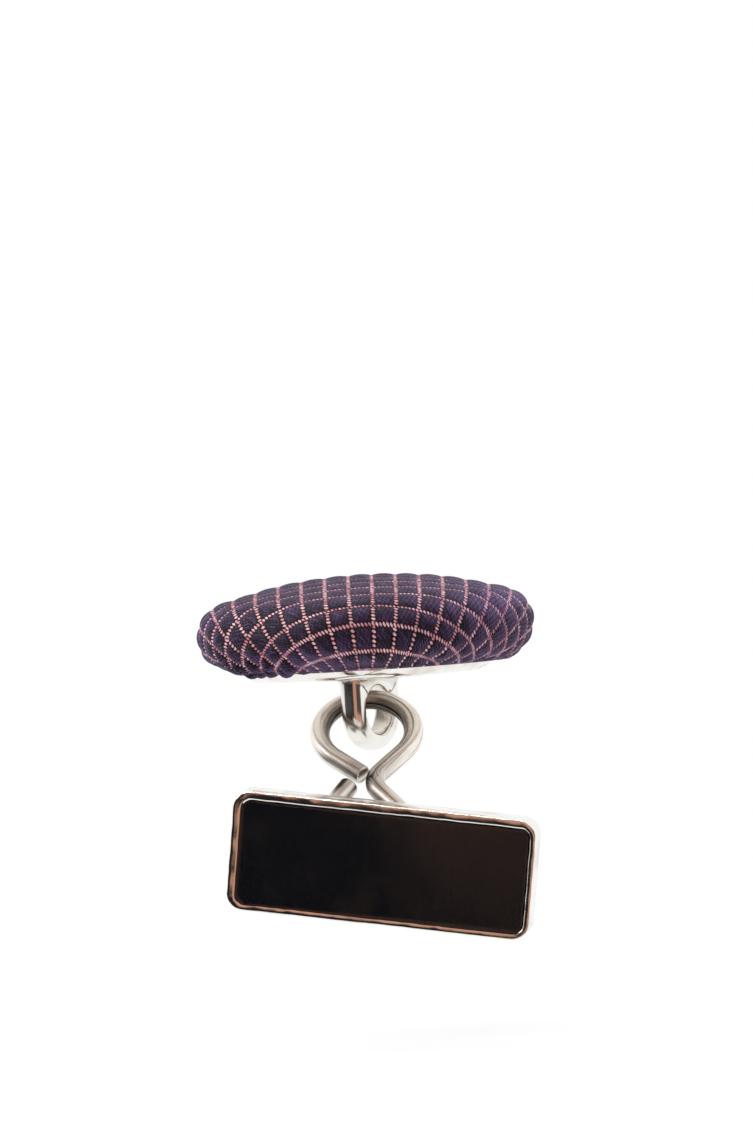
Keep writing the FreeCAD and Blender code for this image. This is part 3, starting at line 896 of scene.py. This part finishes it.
# Bar: a tray with a raised rim, its enamel, and a lug at its back.
bar = {
    "length": 17.8,
    "width": 7.0,
    "thick": 2.0,
    "corner": 1.0,
    "rim": 0.5,
    "rimRound": 0.12,
    "innerRound": 0.24,
    "backRound": 0.3,
    "floor": 0.8,
    "bedShift": (0.1, -0.05),
    "slide": 0.6,
    "roll": 7.9,
    "pitch": 7.0,
    "yaw": -10.0,
    "lugOffset": 1.0,
    "lugThick": 1.1,
    "lugRound": 0.45,
    "cuts": (90, 34),
    "uneven": 0.022,
    "unevenScale": (1.3, 1.3, 0.8),
    "unevenFrom": (0.9, 1.6),
    "leftLean": 0.014,
    "leanAcross": ((-0.42, -0.2), (0.0, 0.2)),
    "leanEnd": (2.6, 3.1),
}
enamel = {
    "level": 1.94,
    "crown": 0.02,
    "creep": 0.03,
    "topCreep": -0.08,
    "rightCreep": -0.1,
    "creepRun": 0.03,
    "topEdge": (0.9, 1.0),
    "rightEdge": (0.96, 1.0),
    "waver": 0.1,
    "edgeWaver": 1.0,
    "waverScale": 3.6,
    "cells": (120, 48),
    "crowding": 1.7,
    "sharpAngle": 60,
}
wireLow = link["lowerRadius"] - link["length"] - math.sqrt(link["lowerRadius"] ** 2 - bar["slide"] ** 2)
barEye = linkPlace @ Vector((bar["slide"] - link["lowerOffset"], wireLow, 0))
barTurn = (
    Matrix.Rotation(math.radians(bar["roll"]), 4, "Y")
    @ Matrix.Rotation(math.radians(bar["pitch"]), 4, "X")
    @ Matrix.Rotation(math.radians(bar["yaw"]), 4, "Z")
    @ Matrix.Rotation(math.radians(90), 4, "X")
)
barPlace = Matrix.Translation(barEye + (barTurn @ Vector((bar["lugOffset"], 0, lug["drop"])))) @ barTurn


def roundedSlab(length, width, thick, corner):
    bm = bmesh.new()
    shape = Matrix.Translation((0, 0, thick / 2)) @ Matrix.Diagonal((length, width, thick, 1))
    bmesh.ops.create_cube(bm, size=1, matrix=shape)
    upright = [edge for edge in bm.edges if abs(edge.verts[0].co.z - edge.verts[1].co.z) > thick / 2]
    roundEdges(bm, upright, corner, 10)
    return bm


def topFace(bm):
    return max(bm.faces, key=lambda face: (round(face.calc_center_median().z, 4), face.calc_area()))


def sinkBed(bm):
    bmesh.ops.inset_region(bm, faces=[topFace(bm)], thickness=bar["rim"], use_even_offset=True)
    bed = topFace(bm)
    sunk = vertsIn(bmesh.ops.extrude_face_region(bm, geom=[bed])["geom"])
    bmesh.ops.delete(bm, geom=[bed], context="FACES_ONLY")
    bmesh.ops.translate(bm, verts=sunk, vec=(0, 0, bar["floor"] - bar["thick"]))
    brim = {edge.other_vert(vert) for vert in sunk for edge in vert.link_edges} - set(sunk)
    bmesh.ops.translate(bm, verts=sunk + list(brim), vec=(*bar["bedShift"], 0))  # a little off centre
    bmesh.ops.recalc_face_normals(bm, faces=bm.faces)


def levelEdges(bm, height, outer):  # sharp edges at one height, round the bar or round its bed
    halfLong, halfWide = ((bar[size] - bar["rim"]) / 2 for size in ("length", "width"))
    found = []
    for edge in bm.edges:
        flat = all(abs(vert.co.z - height) < close for vert in edge.verts)
        outside = any(abs(vert.co.x) > halfLong or abs(vert.co.y) > halfWide for vert in edge.verts)
        if flat and edge.is_manifold and edge.calc_face_angle() > 1 and outside == outer:
            found.append(edge)
    return found


def cutAcross(bm, axis, half, count):  # even cuts that let the rim waver
    way = Vector((0, 0, 0))
    way[axis] = 1
    for step in range(1, count):
        geom = bm.verts[:] + bm.edges[:] + bm.faces[:]
        spot = way * (-half + 2 * half * step / count)
        bmesh.ops.bisect_plane(bm, geom=geom, dist=mergeGap, plane_co=spot, plane_no=way)


def makeTray():
    bm = roundedSlab(bar["length"], bar["width"], bar["thick"], bar["corner"])
    sinkBed(bm)
    roundEdges(bm, levelEdges(bm, bar["thick"], True), bar["rimRound"], 6)
    roundEdges(bm, levelEdges(bm, bar["thick"], False), bar["innerRound"], 6)
    roundEdges(bm, levelEdges(bm, 0, True), bar["backRound"], 6)
    cutAcross(bm, 0, bar["length"] / 2, bar["cuts"][0])
    cutAcross(bm, 1, bar["width"] / 2, bar["cuts"][1])
    leftWall = bar["rim"] + bar["bedShift"][0] - bar["length"] / 2
    for vert in bm.verts:
        if vert.co.z > bar["thick"] - bar["innerRound"]:  # the left rim is worn lower towards the enamel
            worn = within(*bar["leanAcross"], vert.co.x - leftWall)
            vert.co.z -= bar["leftLean"] * worn * (1 - smoothStep(*bar["leanEnd"], abs(vert.co.y)))
        drift = noise.noise_vector(vert.co * Vector(bar["unevenScale"]))
        vert.co += drift * bar["uneven"] * smoothStep(*bar["unevenFrom"], vert.co.z)
    weighted(finishPiece("bar_tray_rim", bm, barPlace, traySilver, "bar", "bar_tray"))


def makeEnamel():
    halfLong = bar["length"] / 2 - bar["rim"]
    halfWide = bar["width"] / 2 - bar["rim"]
    corner = bar["corner"] - bar["rim"]
    bm = bmesh.new()
    shape = Matrix.Translation((0, 0, enamel["level"])) @ Matrix.Diagonal((halfLong, halfWide, 1, 1))
    along, across = enamel["cells"]
    bmesh.ops.create_grid(bm, x_segments=along, y_segments=across, size=1, matrix=shape)

    def pastCorner(vert):  # how far a point lies past the middle of the nearest corner's rounding
        return Vector((abs(vert.co.x) - halfLong + corner, abs(vert.co.y) - halfWide + corner))

    for vert in bm.verts:
        for axis, half in ((0, halfLong), (1, halfWide)):  # rows crowd towards the rim
            share = min(1.0, abs(vert.co[axis]) / half)
            vert.co[axis] = math.copysign(half * (1 - (1 - share) ** enamel["crowding"]), vert.co[axis])
        over = pastCorner(vert)
        if min(over) > 0:  # square corners become round ones
            over *= max(over) / over.length
            vert.co.x = math.copysign(halfLong - corner + over.x, vert.co.x)
            vert.co.y = math.copysign(halfWide - corner + over.y, vert.co.y)
    for vert in bm.verts:
        over = Vector([max(0, past) for past in pastCorner(vert)])
        inset = min(halfLong - abs(vert.co.x), halfWide - abs(vert.co.y))
        near = corner - over.length if over.length > 0 else inset
        atEdge = math.exp(-max(near, 0) / enamel["creepRun"])
        shareLong, shareWide = vert.co.x / halfLong, vert.co.y / halfWide
        atTop = smoothStep(*enamel["topEdge"], shareWide)
        atRight = smoothStep(*enamel["rightEdge"], shareLong)
        spot = Vector((vert.co.x * enamel["waverScale"], vert.co.y * enamel["waverScale"], 7))
        waver = 1 + (enamel["waver"] + enamel["edgeWaver"] * max(atTop, atRight)) * noise.noise(spot)
        creep = enamel["creep"] + (enamel["rightCreep"] - enamel["creep"]) * atRight
        creep += (enamel["topCreep"] - creep) * atTop
        creep = min(creep * waver, bar["thick"] - enamel["level"])
        vert.co.z += creep * atEdge + enamel["crown"] * (1 - shareLong**2) * (1 - shareWide**2)
        climb = enamel["level"] + creep - (bar["thick"] - bar["innerRound"])
        climb = min(bar["innerRound"], max(0, climb))
        spread = bar["innerRound"] - math.sqrt(bar["innerRound"] ** 2 - climb**2)
        if over.length > 0:  # the edge lies on the rim's rounding
            away = over.normalized() * spread * atEdge
            vert.co.x += math.copysign(away.x, vert.co.x)
            vert.co.y += math.copysign(away.y, vert.co.y)
    skirt = bmesh.ops.extrude_edge_only(bm, edges=[edge for edge in bm.edges if edge.is_boundary])["geom"]
    for vert in vertsIn(skirt):
        vert.co.z = bar["floor"]
    bmesh.ops.holes_fill(bm, edges=[edge for edge in bm.edges if edge.is_boundary], sides=0)
    bmesh.ops.recalc_face_normals(bm, faces=bm.faces)
    bmesh.ops.translate(bm, verts=bm.verts, vec=(*bar["bedShift"], 0))
    piece = finishPiece("enamel_face", bm, barPlace, enamelMaterial, "bar", "enamel_inlay")
    piece.data.set_sharp_from_angle(angle=math.radians(enamel["sharpAngle"]))


makeTray()
makeEnamel()
barLugPlace = barPlace @ Matrix.Translation((-bar["lugOffset"], 0, 0))
makeLug("bar_lug_eye", barLugPlace, bar["lugThick"], bar["lugRound"], "bar", "bar_lug")
print("pieces made")

# Studio: white surround, pale floor, soft lamps and cards that show only as reflections.
studio = {"floor": -21.5, "floorHalf": 6000, "surround": 0.32, "cardsAway": 420.0, "cardsDrop": 10}
cards = {  # turns and lifts are the edges, in degrees as seen from the bar
    "darkCard": {"turns": (-84, 66), "lifts": (-52, 22), "colour": ink(32, 31, 34)},
    "darkSideCard": {"turns": (-118, -84), "lifts": (-30, -4), "colour": ink(58, 56, 59)},
    "greyCard": {"turns": (-64, -20.5), "lifts": (16, 112), "colour": ink(150, 126, 114), "nearer": 3},
    "brownCard": {
        "turns": (-21.8, 14),
        "lifts": (-18, 112),
        "colour": ink(196, 148, 126),
        "nearer": 6,
        "fade": 0.12,
    },
    "lowBrownCard": {
        "turns": (-12, 58),
        "lifts": (-38, -4),
        "colour": ink(196, 148, 126),
        "nearer": 9,
        "fade": 0.12,
    },
}
lamps = {  # places and sizes in metres
    "overhead": {"place": (-0.08, 0.0, 0.42), "size": 0.36, "watts": 3.8},
    "leftFill": {"place": (-0.40, -0.25, 0.20), "size": 0.30, "watts": 0.7},
    "rightFill": {"place": (0.42, -0.20, 0.16), "size": 0.30, "watts": 0.05},
}


def makeWorld():
    world = bpy.data.worlds.new("whiteSurround")
    bpy.context.scene.world = world
    world.use_nodes = True
    tree = world.node_tree
    rays = addNode(tree, "ShaderNodeLightPath").outputs
    seen = calc(tree, "MAXIMUM", rays["Is Glossy Ray"], rays["Is Transmission Ray"])
    seen = calc(tree, "MAXIMUM", rays["Is Camera Ray"], seen)
    feedAll(tree, tree.nodes["Background"], {
        "Color": (1, 1, 1, 1),
        "Strength": remap(tree, seen, 0.0, 1.0, studio["surround"], 1.0, False),
    })


def glowOf(tree, colour):
    return addNode(tree, "ShaderNodeEmission", {"Color": colour, "Strength": 1.0}).outputs[0]


def mixShaders(tree, share, first, second):  # takes the place of the Principled shader
    tree.nodes.remove(tree.nodes["Principled BSDF"])
    mixed = addNode(tree, "ShaderNodeMixShader", {0: share, 1: first, 2: second}).outputs[0]
    tree.links.new(mixed, tree.nodes["Material Output"].inputs["Surface"])


def finishStage(name, bm, material):
    bmesh.ops.scale(bm, verts=bm.verts, vec=(mm, mm, mm))
    made = newObject(name, bm, material)
    return made


def makeFloor():
    material, tree, _ = newMaterial("paleFloor")
    rays = addNode(tree, "ShaderNodeLightPath").outputs
    matte = addNode(tree, "ShaderNodeBsdfDiffuse", {"Color": (0.9, 0.9, 0.9, 1)}).outputs[0]
    away = addNode(tree, "ShaderNodeVectorMath", {0: objectPlace(tree)}, operation="LENGTH").outputs["Value"]
    share = calc(tree, "MULTIPLY", rays["Is Camera Ray"], remap(tree, away, 0.02, 0.09, 0.95, 1.0))
    mixShaders(tree, share, matte, glowOf(tree, (1, 1, 1, 1)))
    bm = bmesh.new()
    place = Matrix.Translation((0, 0, studio["floor"]))
    bmesh.ops.create_grid(bm, x_segments=1, y_segments=1, size=studio["floorHalf"], matrix=place)
    finishStage("floor", bm, material).visible_glossy = False


def makeCard(name, turns, lifts, colour, nearer=0.0, fade=0.02):
    material, tree, _ = newMaterial(name)
    clear = addNode(tree, "ShaderNodeBsdfTransparent").outputs[0]
    mixShaders(tree, attributeAt(tree, "solid")["Fac"], clear, glowOf(tree, colour))
    bm = bmesh.new()
    solidLayer = bm.verts.layers.float.new("solid")
    bmesh.ops.create_grid(bm, x_segments=48, y_segments=32, size=1)
    away = studio["cardsAway"] - nearer
    for vert in bm.verts:  # the flat grid is bent round the part and thins out at its border
        inset = 1 - max(abs(vert.co.x), abs(vert.co.y))
        vert[solidLayer] = smoothStep(0, fade, inset)
        turn = math.radians(turns[0] + (turns[1] - turns[0]) * (vert.co.x + 1) / 2)
        lift = math.radians(lifts[0] + (lifts[1] - lifts[0]) * (vert.co.y + 1) / 2)
        level = away * math.cos(lift)
        vert.co = Vector((level * math.sin(turn), -level * math.cos(turn), away * math.sin(lift)))
        vert.co.z -= studio["cardsDrop"]
    card = finishStage(name, bm, material)
    card.visible_camera = False
    card.visible_diffuse = False
    card.visible_shadow = False
    card.visible_transmission = False


def makeLamp(name, place, size, watts):
    lamp = bpy.data.lights.new(name, "AREA")
    lamp.shape = "DISK"
    lamp.size = size
    lamp.energy = watts
    holder = bpy.data.objects.new(name, lamp)
    bpy.context.collection.objects.link(holder)
    holder.location = Vector(place)
    holder.rotation_euler = (-Vector(place)).to_track_quat("-Z", "Y").to_euler()  # aimed at the part
    holder.visible_camera = False


makeWorld()
makeFloor()
for name, settings in cards.items():
    makeCard(name, **settings)
for name, settings in lamps.items():
    makeLamp(name, **settings)
print("studio made")

view = {
    "scale": 16.8,  # pixels per millimetre at the part
    "distance": 400.0,
    "elevation": 0.6,
    "roll": 3.5,
    "origin": (368.4, 675.5),  # the pixel where the part's origin lies
    "frame": (753, 1130),
    "sensor": 36,
}


def makeCamera():
    camera = bpy.data.cameras.new("camera")
    camera.sensor_fit = "AUTO"
    camera.sensor_width = view["sensor"]
    halfHeight = view["frame"][1] / 2 / view["scale"]
    camera.lens = view["sensor"] / 2 * view["distance"] / halfHeight
    camera.clip_start = 0.01
    camera.clip_end = 50
    holder = bpy.data.objects.new("camera", camera)
    bpy.context.collection.objects.link(holder)
    roll, tip = math.radians(view["roll"]), math.radians(view["elevation"])
    dx = view["frame"][0] / 2 - view["origin"][0]
    dy = view["frame"][1] / 2 - view["origin"][1]
    across = (dx * math.cos(roll) - dy * math.sin(roll)) / view["scale"]
    up = -(dx * math.sin(roll) + dy * math.cos(roll)) / view["scale"]
    aim = Vector((across, 0, up)) * mm
    back = Vector((0, -math.cos(tip), math.sin(tip)))
    turn = (-back).to_track_quat("-Z", "Y").to_matrix() @ Matrix.Rotation(-roll, 3, "Z")
    holder.matrix_world = Matrix.Translation(aim + back * view["distance"] * mm) @ turn.to_4x4()
    bpy.context.scene.camera = holder


makeCamera()
bpy.context.scene.view_settings.view_transform = "Standard"
bpy.context.view_layer.update()
print("scene ready")
